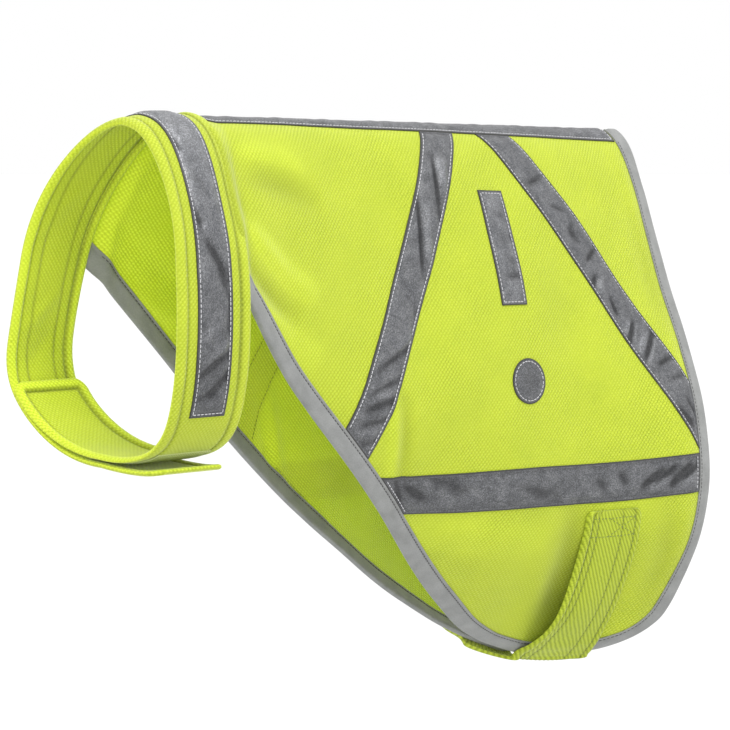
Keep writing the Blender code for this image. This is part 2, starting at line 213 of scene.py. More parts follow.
X_STEP = 5
DEPTH_STEP = 2.5
X_GRID = np.arange(-230, 241, X_STEP)
DEPTH_GRID = np.arange(0, 420.1, DEPTH_STEP)
STATION_SLOPES = smooth([row.x for row in SECTIONS], [row[1:] for row in SECTIONS], X_GRID)
SLOPES = smooth(DEPTHS, STATION_SLOPES.T, DEPTH_GRID)
ACROSS, DOWN = run(SLOPES, DEPTH_STEP)


def read_grid(grid, x, depth):
    """The value between the grid's four nearest points."""
    column = np.clip((x - X_GRID[0]) / X_STEP, 0, len(X_GRID) - 1.001)
    row = np.clip(depth / DEPTH_STEP, 0, len(DEPTH_GRID) - 1.001)
    i = row.astype(int)
    j = column.astype(int)
    v = row - i
    u = column - j
    upper = grid[i, j] * (1 - u) + grid[i, j + 1] * u
    lower = grid[i + 1, j] * (1 - u) + grid[i + 1, j + 1] * u
    return upper * (1 - v) + lower * v


def coat(x, depth):
    """A point of the coat's outer face on the left side; a depth below zero is on the right."""
    x, depth = np.broadcast_arrays(np.asarray(x, float), np.asarray(depth, float))
    across = read_grid(ACROSS, x, abs(depth))
    down = read_grid(DOWN, x, abs(depth))
    return np.stack([x, -np.sign(depth) * across, BACK_HEIGHT - BACK_FALL * x - down], -1)


def unit(vector):
    return vector / np.linalg.norm(vector, axis=-1, keepdims=True)


def lifted(x, depth, height):
    """A point of the coat moved out by a height."""
    reach = 4.0
    along = coat(x + reach, depth) - coat(x - reach, depth)
    downward = coat(x, depth + reach) - coat(x, depth - reach)
    return coat(x, depth) + unit(np.cross(downward, along)) * np.asarray(height)[..., None]


def ease(share):
    """A smooth rise from 0 to 1."""
    share = np.clip(share, 0, 1)
    return share * share * (3 - 2 * share)


# Creases: where a fold starts and ends on the flat cloth, its width, its height, which is below zero for a
# trough, and how far its middle bows sideways
Fold = namedtuple("Fold", "x depth to_x to_depth width height bow", defaults=(0,))
COAT_FOLDS = (
    Fold(-166, 28, -180, 128, 7, -2.6, 3),
    Fold(-176, 72, -112, 122, 7, 2.0, -5),
    Fold(-180, 100, -126, 134, 6, -2.4, -4),
    Fold(-172, 120, -110, 158, 9, 1.2, -4),
    Fold(-160, 52, -96, 66, 9, -2.2, 3),
    Fold(-158, 36, -104, 44, 8, 0.8, 2),
    Fold(-60, 174, -56, 232, 4, 1.3),
    Fold(-50, 172, -47, 236, 4.5, -1.9),
    Fold(88, 246, 112, 362, 11, -3.2, -3),
    Fold(66, 262, 92, 356, 12, 1.4),
    Fold(-10, 90, 6, 190, 22, 1.2),
    Fold(106, 66, 84, 168, 20, -1.2),
    Fold(158, 250, 166, 344, 10, -1.6, 5),
    Fold(-110, 60, -84, 170, 18, -0.9),
    Fold(170, 130, 172, 236, 13, 1.2),
    Fold(-40, 262, 74, 276, 11, 1.0),
    Fold(178, 60, 182, 150, 9, -1.1),
)
TAPE_FOLDS = (
    Fold(5, 28, -2, 74, 2.3, -1.5),
    Fold(11, 28, 6, 62, 3, 0.7),
    Fold(-17, 54, -24, 110, 2.0, -1.7, 1),
    Fold(-11, 58, -18, 106, 2.8, 0.7),
    Fold(-37, 116, -29, 134, 3, -0.6),
    Fold(-74, 166, -36, 147, 2.6, -1.5, 2),
    Fold(-68, 158, -34, 141, 2.4, 0.8),
    Fold(-80, 178, -48, 166, 2.2, -1.3, 1),
    Fold(-84, 186, -54, 178, 2.8, -1.5),
    Fold(-82, 181, -52, 172, 1.8, 0.6),
    Fold(-88, 195, -60, 190, 2.2, -1.3),
    Fold(-88, 208, -70, 202, 2.2, -0.9),
    Fold(80, 49, 99, 42, 2.4, -1.3),
    Fold(84, 55, 104, 48, 2.6, 0.6),
    Fold(94, 61, 112, 67, 2.2, -1.0),
    Fold(108, 74, 115, 89, 3.6, -1.2),
    Fold(116, 100, 131, 89, 2.2, -1.5),
    Fold(124, 107, 117, 120, 2.4, -1.8),
    Fold(130, 106, 124, 121, 2.4, 0.8),
    Fold(133, 120, 138, 136, 2.4, -1.5),
    Fold(151, 137, 140, 156, 2.2, -2.1),
    Fold(146, 136, 136, 151, 2.2, 0.8),
    Fold(166, 144, 152, 166, 2.2, -2.1),
    Fold(159, 144, 147, 161, 2.4, 0.8),
    Fold(160, 168, 180, 161, 2, -1.4),
    Fold(168, 178, 184, 174, 2, -1.0),
    Fold(170, 194, 184, 210, 2.2, -1.8),
    Fold(178, 188, 190, 206, 2.0, -1.3),
    Fold(120, 232, 128, 242, 3.2, -1.0),
    Fold(103, 232, 111, 246, 3.6, -0.8),
    Fold(136, 245, 157, 232, 2.4, -1.7),
    Fold(142, 248, 162, 236, 2.4, 0.7),
    Fold(148, 243, 167, 231, 2.2, -1.8),
    Fold(158, 246, 178, 231, 2.4, -2.0),
    Fold(164, 249, 182, 237, 2.2, 0.7),
    Fold(168, 243, 184, 232, 2.0, -1.6),
    Fold(-54, 224, -44, 247, 2.4, -1.5),
    Fold(-48, 230, -24, 243, 3.2, -1.5),
    Fold(-28, 226, 6, 239, 4.4, -0.9),
    Fold(36, 236, 78, 247, 4.0, -0.9),
    Fold(40, 109, 58, 107, 2.4, -1.2),
    Fold(42, 85, 56, 81, 3.4, -0.6),
    Fold(43, 94, 54, 101, 3.0, -0.7),
    Fold(44, 69, 53, 72, 3.0, -0.5),
    Fold(44, 178, 60, 168, 5.0, -0.5),
)


def relief(folds, x, depth):
    """The height of all the folds together at a place of the cloth."""
    total = np.zeros(np.broadcast(x, depth).shape)
    for fold in folds:
        long = math.hypot(fold.to_x - fold.x, fold.to_depth - fold.depth)
        heading = ((fold.to_x - fold.x) / long, (fold.to_depth - fold.depth) / long)
        along = (x - fold.x) * heading[0] + (depth - fold.depth) * heading[1]
        across = (x - fold.x) * heading[1] - (depth - fold.depth) * heading[0]
        share = np.clip(2 * along / long - 1, -1, 1)
        across = across - fold.bow * (1 - share ** 2)
        total += fold.height * (1 - share ** 2) ** 0.75 * np.exp(-(across / fold.width) ** 2)
    return total


def swell(x, depth, side):
    """The cloth's gentle unevenness: a few long waves that differ from side to side."""
    shift = 0 if side == "left" else 37
    waves = 0.55 * np.sin((x + 0.6 * depth + shift) / 21) * np.sin((depth - 0.3 * x + shift) / 33)
    return waves + 0.3 * np.sin((x - 0.8 * depth + 2 * shift) / 11.5) * np.sin((depth + x) / 17)


# How far the right side's folds lie from the left side's, and how much taller the tapes' folds are made
MIRROR_SHIFT = {"left": (0, 0), "right": (7, -5)}
CREASE_TALLER = 1.4


# The form of the neck band
def band_x(y, z):
    """The band's middle line along x at a place of its ring."""
    level = z - BAND_LEVEL
    return BAND_X + BAND_LEAN * level + BAND_BEND * level ** 2 + BAND_TURN * y


def ring_line():
    """The ring as y, z and outward direction, from the nape down the left side and up the right."""
    depth = np.arange(0, HALF_RING + 0.1, 2)
    sewn = SLOPES[:int(SEWN_DEPTH / DEPTH_STEP) + 1, np.searchsorted(X_GRID, NECK_X)]
    upper = np.interp(depth, DEPTH_GRID[:len(sewn)], sewn)
    halves = []
    for side, sign in (("left", -1), ("right", 1)):
        knots = [SEWN_DEPTH] + [row.depth for row in NECK_ROWS]
        slopes = [sewn[-1]] + [getattr(row, side) for row in NECK_ROWS]
        angle = np.where(depth <= SEWN_DEPTH, upper, smooth(knots, slopes, depth))
        across, down = run(angle, 2)
        halves.append(np.stack([sign * across, -down], -1))
    miss = (halves[1][-1] - halves[0][-1]) / 2
    share = np.clip((depth - SEWN_DEPTH) / (HALF_RING - SEWN_DEPTH), 0, 1)[:, None]
    ring = np.concatenate([halves[0] + miss * share, (halves[1] - miss * share)[-2::-1]])
    ring[:, 1] += BACK_HEIGHT - BACK_FALL * NECK_X
    along = np.roll(ring, -1, axis=0) - np.roll(ring, 1, axis=0)
    along[[0, -1]] = (-1, 0)
    outward = unit(np.stack([along[:, 1], -along[:, 0]], -1))
    return np.arange(len(ring)) * 2.0, ring, outward


RING = ring_line()


def shoulder_lean(way):
    """How far the band's rear edge leans in at a way along it."""
    return LEAN_IN * np.sin(np.pi * np.clip((way - 6) / 118, 0, 1)) ** 2


def on_band(way, over, lift=0.0):
    """Points of the band's strip: way is along it from the nape, below zero on the right; lift is over the
    middle of its wall, and over the distance across it."""
    way, over, lift = np.broadcast_arrays(np.asarray(way, float), over, lift)
    places, ring, outward = RING
    place = np.where(way < 0, places[-1] + way, way)
    past_bottom = np.clip((-way - HALF_RING) / RIGHT_REACH, 0, 1)
    shift = np.sign(-way) * LAYER_SHIFT * ease((abs(way) - 120) / 70) + TIP_DROP * past_bottom ** 2
    y = np.interp(place, places, ring[:, 0])
    z = np.interp(place, places, ring[:, 1])
    out = unit(np.stack([np.interp(place, places, outward[:, k]) for k in (0, 1)], -1))
    near_nape = np.cos(np.pi / 2 * np.clip(way / DIP_REACH, -1, 1)) ** 2
    dip = NAPE_DIP * np.clip(-2 * over / BAND, 0, 1) ** 2 * near_nape
    height = GAP + BAND_WALL / 2 + shift + lift + band_flare(way) * over - dip
    height = height - shoulder_lean(way) * (over + BAND / 2) / BAND
    x = band_x(y, z) + over
    return np.stack([x, y + out[..., 0] * height, z + out[..., 1] * height], -1)


def band_rear(side, depth):
    """The x of the band's rear edge beside a depth of the coat."""
    way = np.minimum(depth, 200.0)
    return on_band(way if side == "left" else -way, BAND / 2)[..., 0]


def lap_share(side, depth):
    """How much the coat's neck edge lies over the band at a depth, from 0 to 1."""
    start, change = LAP_ENDS[side]
    return (1 - ease((depth - start) / change)) * ease(depth / LAP_FROM)


def band_flare(way):
    """How much the band's right side opens at a way along it: its rise for each millimetre across."""
    flared = np.clip((-way - FLARE_FROM) / (FLARE_TO - FLARE_FROM), 0, 1)
    return BAND_FLARE * np.sin(np.pi * flared) ** 2


def lap_height(side, depth):
    """How high the coat's neck edge lies, to pass over the band's rear border."""
    rise = band_flare(-depth) * BAND / 2 if side == "right" else 0
    return (LAP_HEIGHT + rise) * lap_share(side, depth)


def edge_curl(x, depth):
    """How far the hem rolls in along the belly and the tail."""
    tail = np.interp(depth, TAIL_LINE[:, 1], TAIL_LINE[:, 0])
    at_tail = TAIL_CURL[0] * ease((x - tail) / TAIL_CURL[1] + 1)
    at_belly = BELLY_CURL[0] * ease((depth - lowest_depth(0, x)) / BELLY_CURL[1] + 1)
    return np.maximum(at_tail, at_belly) * ease((x - 10) / 60) * ease(depth / 45)


def coat_relief(x, depth, side):
    """The coat's folds and swell, faded out at the spine, with its lap on the band and its rolled hem."""
    shift = MIRROR_SHIFT[side]
    folds = relief(COAT_FOLDS, x + shift[0], depth + shift[1])
    behind = x - band_rear(side, abs(depth))
    free = ease(behind / 10)
    height = (folds * (1 if side == "left" else 0.85) + swell(x, depth, side)) * free * ease(depth / 34)
    height = height + lap_height(side, abs(depth)) * ease((12 - behind) / 14) - edge_curl(x, depth)
    if side == "left":
        height = height - shoulder_lean(depth) * np.exp(-(np.clip(behind, 0, None) / 20) ** 2)
    return height


def coat_painted_shade(x, depth, side):
    """The painted shade of a place of the coat: darker deep in one of the narrow folds, slightly lighter on
    their ridges.
    """
    shift = MIRROR_SHIFT[side]
    narrow = [fold for fold in COAT_FOLDS if fold.width < 12]
    return np.clip(-relief(narrow, x + shift[0], depth + shift[1]) / 4.5, -0.1, 0.6) * ease(depth / 34)


def on_side(side):
    """The coat's surface on one side: flat x, flat depth and height to points in millimetres."""
    def carry(x, depth, height=0.0):
        x, depth, height = np.broadcast_arrays(x, depth, height)
        points = lifted(x, depth, height + coat_relief(x, depth, side))
        return points * (1, SIDES[side], 1)
    return carry


def on_spine(x, depth, height=0.0):
    """The coat's surface across the spine."""
    x, depth, height = np.broadcast_arrays(x, depth, height)
    left = coat_relief(x, abs(depth), "left")
    right = coat_relief(x, abs(depth), "right")
    return lifted(x, depth, height + np.where(depth >= 0, left, right))


def edge_line(inset):
    """The finished edge moved inwards over the flat cloth by an inset, as many close points."""
    corners = np.array(EDGE, float)
    length = np.concatenate([[0], np.cumsum(np.linalg.norm(np.diff(corners, axis=0), axis=1))])
    places = np.linspace(0, length[-1], 400)
    line = smooth(length, corners, places)
    along = np.gradient(line, axis=0)
    inward = unit(np.stack([along[:, 1], -along[:, 0]], -1))
    return line + inward * inset


def edge_span(inset, depth):
    """The x of the chest edge and of the tail edge at a depth, both moved inwards by an inset."""
    line = edge_line(inset)
    lowest = line[:, 1].argmax()
    chest = line[:lowest + 1]
    tail = line[lowest:][::-1]
    front = np.where(depth < chest[0, 1], EDGE[0].x, np.interp(depth, chest[:, 1], chest[:, 0]))
    return front, np.interp(depth, tail[:, 1], tail[:, 0])


def lowest_depth(inset, x):
    """The depth of the belly edge under an x."""
    line = edge_line(inset)
    chest_to_tail = line[:line[:, 0].argmax()]
    return np.interp(x, chest_to_tail[:, 0], chest_to_tail[:, 1])


EDGE_LINE = edge_line(0)
TAIL_LINE = EDGE_LINE[EDGE_LINE[:, 1].argmax():][::-1]


# Meshes
def piece(name, points, faces, look, coordinates=None, painted_shade=None):
    """A mesh piece that rides on the vest; its coordinates are what its material reads, in millimetres, and
    painted_shade is how much shade is painted on a point in creases and seams, or below zero how much light."""
    data = bpy.data.meshes.new(name)
    data.from_pydata((np.asarray(points) * MM).tolist(), [], faces)
    data.shade_smooth()
    data.set_sharp_from_angle(angle=math.radians(50))
    if coordinates is not None:
        attribute = data.attributes.new("cloth", "FLOAT_VECTOR", "POINT")
        attribute.data.foreach_set("vector", np.asarray(coordinates, np.float32).ravel())
    if painted_shade is not None:
        attribute = data.attributes.new("painted_shade", "FLOAT", "POINT")
        attribute.data.foreach_set("value", np.asarray(painted_shade, np.float32).ravel())
    data.materials.append(look)
    made = bpy.data.objects.new(name, data)
    bpy.context.scene.collection.objects.link(made)
    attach(made, "root")
    return made


def wall_faces(rows, columns, flipped=False):
    """Faces of a closed wall between two grids of points, the outer one first."""
    index = np.arange(rows * columns).reshape(rows, columns)
    outer = np.stack([index[:-1, :-1], index[1:, :-1], index[1:, 1:], index[:-1, 1:]], -1).reshape(-1, 4)
    inner = outer[:, ::-1] + rows * columns
    rim = np.concatenate([index[0, :-1], index[:-1, -1], index[-1, :0:-1], index[:0:-1, 0]])
    after = np.roll(rim, -1)
    sides = np.stack([rim, after, after + rows * columns, rim + rows * columns], -1)
    faces = np.concatenate([outer, inner, sides])
    return (faces[:, ::-1] if flipped else faces).tolist()


def wall(name, outer, inner, look, coordinates, flipped=False, painted_shade=None, painted_shade_inside=None):
    """A closed thin wall between two grids of points."""
    rows, columns = outer.shape[:2]
    points = np.concatenate([outer.reshape(-1, 3), inner.reshape(-1, 3)])
    flat = np.concatenate([coordinates.reshape(-1, 3)] * 2)
    both = [np.zeros((rows, columns)) if part is None else part + np.zeros((rows, columns))
            for part in (painted_shade, painted_shade_inside)]
    painted_shade = np.concatenate([part.ravel() for part in both])
    return piece(name, points, wall_faces(rows, columns, flipped), look, flat, painted_shade)


def loft_faces(rings, size):
    """Faces of a closed bar whose rings are its sections, with both ends closed."""
    index = np.arange(rings * size).reshape(rings, size)
    after = np.roll(index, -1, axis=1)
    sides = np.stack([index[:-1], after[:-1], after[1:], index[1:]], -1).reshape(-1, 4).tolist()
    return sides + [index[0, ::-1].tolist(), index[-1].tolist()]


def round_end(half, radius, from_end):
    """Half the width of a strip that has round corners, at distances from its end."""
    past = radius - np.clip(from_end, 0, radius)
    return half - radius + np.sqrt(radius ** 2 - past ** 2)


# Stitches
def places_along(line, pitch):
    """Even places along a line of flat points, as shares of its length, and its length."""
    length = np.concatenate([[0], np.cumsum(np.linalg.norm(np.diff(line, axis=0), axis=1))])
    return np.arange(pitch / 2, length[-1], pitch), length


def stitches(name, carry, lines, height, look, pitch=2.7, long=2.1, thick=0.3, wobble=0.08):
    """Short threads along lines of flat points, each a small bar that dips at both ends."""
    random = np.random.default_rng(len(name))
    points, faces = [], []
    shares = (-0.5, -0.3, 0.3, 0.5)
    swells = (0.35, 1, 1, 0.35)
    for line in lines:
        line = np.asarray(line, float)
        middles, length = places_along(line, pitch)
        for middle in middles:
            middle = middle + random.normal(0, wobble)
            at = np.clip(middle + np.array(shares) * long, 0, length[-1])
            flat = np.stack([np.interp(at, length, line[:, k]) for k in (0, 1)], -1)
            base = carry(flat[:, 0], flat[:, 1], height)
            out = unit(carry(flat[:, 0], flat[:, 1], height + 1) - base)
            along = unit(np.gradient(base, axis=0))
            beside = np.cross(out, along) * thick
            up = out * thick
            first = len(points)
            for k, swelled in enumerate(swells):
                dip = up[k] * (swelled - 1)
                for sideways, upward in ((1, 0), (0, 1), (-1, 0), (0, -1)):
                    points.append(base[k] + dip + (beside[k] * sideways + up[k] * upward) * swelled)
            for k in range(first, first + 12, 4):
                faces += [[k + m, k + (m + 1) % 4, k + 4 + (m + 1) % 4, k + 4 + m] for m in range(4)]
            faces += [[first + k for k in (3, 2, 1, 0)], [first + k for k in (12, 13, 14, 15)]]
    return piece(name, points, faces, look)


# Materials
class Look:
    """A new material with its shader, and short calls that add nodes to it."""

    def __init__(self, name, roughness, **sockets):
        self.made = bpy.data.materials.new(name)
        self.made.use_nodes = True
        self.nodes = self.made.node_tree.nodes
        self.links = self.made.node_tree.links
        self.shader = self.nodes["Principled BSDF"]
        self.shader.inputs["Roughness"].default_value = roughness
        for socket, value in sockets.items():
            self.shader.inputs[socket.replace("_", " ")].default_value = value

    def feed(self, socket, value):
        """Set a socket to a number or a colour, or link another node's output to it."""
        if isinstance(value, (int, float)):
            socket.default_value = value
        elif isinstance(value, tuple):
            socket.default_value = (*value, 1)
        else:
            self.links.new(value, socket)

    def number(self, operation, *values):
        node = self.nodes.new("ShaderNodeMath")
        node.operation = operation
        for k, value in enumerate(values):
            self.feed(node.inputs[k], value)
        return node.outputs[0]

    def attribute(self, name):
        node = self.nodes.new("ShaderNodeAttribute")
        node.attribute_name = name
        return node.outputs

    def cloth(self):
        """The two flat measures and the edge distance of the cloth, in millimetres, together and apart."""
        vector = self.attribute("cloth")["Vector"]
        split = self.nodes.new("ShaderNodeSeparateXYZ")
        self.links.new(vector, split.inputs[0])
        return vector, split.outputs["X"], split.outputs["Y"], split.outputs["Z"]

    def wave(self, u, v, u_period, v_period):
        """A cosine of the flat measures: a period of zero leaves that measure out."""
        parts = [self.number("MULTIPLY", axis, 2 * math.pi / period)
                 for axis, period in ((u, u_period), (v, v_period)) if period]
        total = parts[0] if len(parts) == 1 else self.number("ADD", *parts)
        return self.number("COSINE", total)

    def noise(self, vector, scale, detail=2.0, distortion=0.0):
        node = self.nodes.new("ShaderNodeTexNoise")
        inputs = {"Vector": vector, "Scale": scale, "Detail": detail, "Distortion": distortion}
        for socket, value in inputs.items():
            self.feed(node.inputs[socket], value)
        return node.outputs["Fac"]

    def ramp(self, value, *stops):
        node = self.nodes.new("ShaderNodeValToRGB")
        self.links.new(value, node.inputs[0])
        elements = node.color_ramp.elements
        while len(elements) < len(stops):
            elements.new(0.5)
        for element, (place, colour) in zip(elements, stops):
            element.position = place
            element.color = (*colour, 1)
        return node.outputs["Color"]

    def mix(self, share, first, second, blend="MIX"):
        node = self.nodes.new("ShaderNodeMix")
        node.data_type = "RGBA"
        node.blend_type = blend
        for socket, value in (("Factor", share), (6, first), (7, second)):
            self.feed(node.inputs[socket], value)
        return node.outputs[2]

    def times(self, first, second):
        return self.mix(1.0, first, second, "MULTIPLY")

    def paint_shade_and_highlight(self, colour, dark, light):
        """The colour with painted shade in creases and seams, and painted light on ridges and inner faces."""
        place = self.number("MULTIPLY_ADD", self.attribute("painted_shade")["Fac"], 0.5, 0.5)
        return self.times(colour, self.ramp(place, (0.2, (light,) * 3), (0.5, (1, 1, 1)), (1.0, (dark,) * 3)))

    def finish(self, colour, height=None, strength=0, distance=0):
        """The material with its colour and, from a height, its bumps."""
        self.links.new(colour, self.shader.inputs["Base Color"])
        if height is not None:
            node = self.nodes.new("ShaderNodeBump")
            node.inputs["Strength"].default_value = strength
            node.inputs["Distance"].default_value = distance
            self.links.new(height, node.inputs["Height"])
            self.links.new(node.outputs[0], self.shader.inputs["Normal"])
        return self.made


# Painted light on the inner faces: their painted shade, below zero because they are painted lighter, as if
# light that stays in the hollow made the fluorescent cloth glow. The knit's holes repeat over these
# distances.
PAINTED_INSIDE_GLOW = -0.5
KNIT_X = 2.7
KNIT_DEPTH = 3.1


def knit_cloth():
    """The coat's open knit: staggered small holes between slanting yarns."""
    look = Look("hi_vis_mesh", 0.75, Sheen_Weight=0.32, Sheen_Roughness=0.4, Sheen_Tint=(0.95, 1, 0.8, 1),
                Subsurface_Weight=0.6, Subsurface_Radius=(1, 1, 0.6), Subsurface_Scale=0.002,
                Specular_IOR_Level=0.35)
    vector, u, v, _ = look.cloth()
    loose = look.number("MULTIPLY_ADD", look.noise(vector, 0.35), 1.6, u)
    rising = look.wave(loose, v, KNIT_X, KNIT_DEPTH)
    falling = look.wave(loose, v, KNIT_X, -KNIT_DEPTH)
    rows = look.wave(u, v, 0, KNIT_DEPTH / 2)
    total = look.number("MULTIPLY", rising, 0.48)
    total = look.number("MULTIPLY_ADD", falling, 0.30, total)
    total = look.number("MULTIPLY_ADD", rows, 0.22, total)
    open_areas = look.noise(vector, 0.022)
    strength = look.number("MULTIPLY_ADD", open_areas, 0.8, -0.02)
    total = look.number("MULTIPLY", total, strength)
    height = look.number("ADD", total, 0.5)
    height = look.number("MULTIPLY_ADD", look.noise(vector, 1.3, 3), 0.5, height)
    colour = look.ramp(height, (0.35, (0.25, 0.315, 0.008)), (0.6, (0.37, 0.445, 0.018)),
                       (0.85, (0.43, 0.51, 0.032)), (1.15, (0.475, 0.56, 0.045)))
    patches = look.noise(vector, 0.03, 3)
    colour = look.times(colour, look.ramp(patches, (0.3, (0.95, 0.955, 0.9)), (0.7, (1.03, 1.02, 1))))
    # Painted shade in creases and seams, painted highlight on ridges and painted glow on inner faces.
    return look.finish(look.paint_shade_and_highlight(colour, 0.62, 1.6), height, 0.55, 0.0006)


def reflective_tape():
    """Grey glass-bead tape: fine sparkle over soft mottling, and a dark band along its outermost millimetre.
    """
    look = Look("reflective_tape", 0.42, Metallic=0.45)
    vector, _, _, edge = look.cloth()
    mottle = look.noise(vector, 0.12, 5, 0.8)
    grey = look.ramp(mottle, (0.3, (0.105, 0.108, 0.114)), (0.7, (0.175, 0.178, 0.184)))
    beads = look.noise(vector, 1.15, 3)
    sparkle = look.ramp(beads, (0.3, (0.5, 0.5, 0.5)), (0.52, (1, 1, 1.01)), (0.8, (2.1, 2.1, 2.15)))
    # Painted shade in creases and seams and a painted highlight on ridges.
    colour = look.paint_shade_and_highlight(look.times(grey, sparkle), 0.3, 1.5)
    inside = look.number("DIVIDE", look.number("SUBTRACT", edge, 0.5), 0.5)
    inside.node.use_clamp = True
    return look.finish(look.mix(inside, (0.05, 0.05, 0.048), colour), beads, 0.4, 0.0003)


def grey_binding():
    """Plain grey woven binding with a faint weave and streaks along it."""
    look = Look("grey_binding", 0.62, Sheen_Weight=0.12)
    vector, u, v, _ = look.cloth()
    streaks = look.noise(vector, 0.09, 4, 0.3)
    colour = look.ramp(streaks, (0.3, (0.195, 0.20, 0.195)), (0.7, (0.255, 0.26, 0.255)))
    fibres = look.noise(vector, 1.1)
    shade = look.ramp(fibres, (0.35, (0.93, 0.93, 0.93)), (0.65, (1.06, 1.06, 1.06)))
    weave = look.number("MULTIPLY", look.wave(u, v, 0.9, 0), look.wave(u, v, 0, 0.9))
    return look.finish(look.times(colour, shade), weave, 0.2, 0.0003)


def webbing():
    """Ribbed webbing: slanting ribs with a darker groove between them."""
    look = Look("hi_vis_webbing", 0.68, Sheen_Weight=0.25, Sheen_Roughness=0.4, Sheen_Tint=(0.93, 1, 0.6, 1))
    vector, u, v, _ = look.cloth()
    loose = look.number("MULTIPLY_ADD", look.noise(vector, 0.3), 1.2, u)
    ribs = look.wave(loose, v, 2.4, -4.8)
    height = look.number("MULTIPLY_ADD", ribs, 0.4, 0.5)
    height = look.number("MULTIPLY_ADD", look.wave(u, v, 1.5, 1.9), 0.12, height)
    colour = look.ramp(height, (0.0, (0.22, 0.28, 0.006)), (0.5, (0.35, 0.43, 0.012)),
                       (1.0, (0.44, 0.53, 0.03)))
    # Painted shade in the seams.
    return look.finish(look.paint_shade_and_highlight(colour, 0.6, 1.0), height, 0.7, 0.0007)


def hook_tape():
    """Hook tape: pale, with rows of tiny hooks."""
    look = Look("hook_tape", 0.5)
    _, u, v, _ = look.cloth()
    hooks = look.number("MULTIPLY", look.wave(u, v, 1.7, 0), look.wave(u, v, 0, 1.5))
    height = look.number("MULTIPLY_ADD", hooks, 0.5, 0.5)
    colour = look.ramp(height, (0.2, (0.42, 0.48, 0.16)), (0.8, (0.62, 0.68, 0.34)))
    return look.finish(colour, height, 0.8, 0.0006)


def thread(name, colour):
    """Sewing thread with faint twist."""
    look = Look(name, 0.5, Sheen_Weight=0.2)
    place = look.nodes.new("ShaderNodeTexCoord")
    twist = look.noise(place.outputs["Object"], 1500, 1)
    dark = tuple(0.75 * part for part in colour)
    return look.finish(look.ramp(twist, (0.35, dark), (0.65, colour)))


# Pieces of the coat: its grid's rows on the shoulder, flank and belly, and its columns' shares of the width
ROWS = (22, 96, 24)
SHARES = np.concatenate([
    np.linspace(0, 0.07, 18), np.linspace(0.07, 0.93, 108)[1:-1], np.linspace(0.93, 1, 14)])


def coat_half(side):
    """One half of the coat: a thin wall with the creases in it, trimmed to the fold of the binding."""
    bottom = edge_line(TRIM)[:, 1].max() - GAP
    shoulder = np.linspace(GAP / 2, 60, ROWS[0] + 1)
    flank = np.linspace(60, 310, ROWS[1] + 1)[1:]
    turn = np.linspace(0, np.pi / 2, ROWS[2] + 1)[1:]
    depth = np.concatenate([shoulder, flank, 310 + (bottom - 310) * np.sin(turn)])
    chest, rear = edge_span(TRIM, depth)
    front = np.maximum(chest, band_rear(side, depth) - COAT_LAP)
    tucked = (ease((front - chest) / 3) * lap_share(side, depth))[:, None]
    x = front[:, None] + (rear - front)[:, None] * SHARES
    depth = depth[:, None] + 0 * x
    behind = x - front[:, None]
    carry = on_side(side)
    dip = -TUCK * tucked * (1 - ease(behind / 4.5))
    rolled = -0.55 * (1 - tucked) * (1 - ease(behind / 1.8))
    flat = np.stack([x, depth * SIDES[side], 0 * x], -1)
    # Painted shade in the narrow folds and where the edge tucks under the band; painted glow on the inside.
    painted_shade = coat_painted_shade(x, depth, side) + 0.7 * tucked * (1 - ease(behind / 6))
    outer, inner = carry(x, depth, dip + rolled), carry(x, depth, dip - CLOTH_SHOWN)
    made = wall(f"coat_{side}", outer, inner, CLOTH, flat, side == "right", painted_shade, PAINTED_INSIDE_GLOW)
    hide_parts(f"back_panel_{side}")
    return made


def binding_rings(side):
    """Places along the finished edge where a binding has its sections."""
    lowest = EDGE_LINE[:, 1].argmax()
    index = np.arange(len(EDGE_LINE))
    first = np.interp(BINDING_START[side], EDGE_LINE[:lowest, 0], index[:lowest])
    return np.linspace(first, index[-1], 300), index


def binding_profile():
    """The section of the folded binding, from the outer leaf's edge round the fold to the inner leaf's."""
    under = -CLOTH_SHOWN
    wide = BINDING_SHOWN
    leaf = [(wide, 0.4), (wide - 0.25, 0.95), (wide - 1.0, 1.05), (wide - 1.9, 0.55), (wide - 2.8, 1.05),
            (8, 1.4), (6, 1.5), (4, 1.5), (2, 1.35)]
    turn = np.radians(np.linspace(60, -60, 7))
    middle, radius = under / 2, 1.3 - under / 2
    fold = [(1.2 - 1.2 * math.cos(angle), middle + radius * math.sin(angle)) for angle in turn]
    outer = leaf + fold + [(inset, under - height) for inset, height in leaf[::-1]]
    cavity = [(wide, under - 0.15), (TRIM - 0.3, under - 0.15), (TRIM - 0.3, 0.15), (wide, 0.15)]
    return outer + cavity


def edge_binding(side):
    places, index = binding_rings(side)
    carry = on_side(side)
    profile = binding_profile()
    sign = SIDES[side]
    grid, flat = [], []
    length = places * np.linalg.norm(np.diff(EDGE_LINE, axis=0), axis=1).mean()
    for inset, height in profile:
        line = edge_line(inset)
        x, depth = (np.interp(places, index, line[:, k]) for k in (0, 1))
        points = carry(x, np.maximum(depth, GAP), height)
        points[:, 1] = sign * np.minimum(sign * points[:, 1], -GAP / 2)
        grid.append(points)
        flat.append(np.stack([length, 0 * length + inset, 0 * length], -1))
    grid = np.stack(grid, 1)
    flat = np.stack(flat, 1)
    faces = loft_faces(len(places), len(profile))
    if side == "left":
        faces = [face[::-1] for face in faces]
    made = piece(f"binding_{side}", grid.reshape(-1, 3), faces, BINDING_LOOK, flat.reshape(-1, 3))
    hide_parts(f"edge_binding_{side}")
    line = edge_line(BINDING_SHOWN - 1.9)
    seam = np.stack([np.interp(places, index, line[:, k]) for k in (0, 1)], -1)[3:-4]
    seams = (("binding_stitches", 0.72), ("binding_back_stitches", -CLOTH_SHOWN - 0.72))
    return [made] + [stitches(f"{name}_{side}", carry, [seam], height, DARK_THREAD, 2.5, 1.9, 0.36)
                     for name, height in seams]


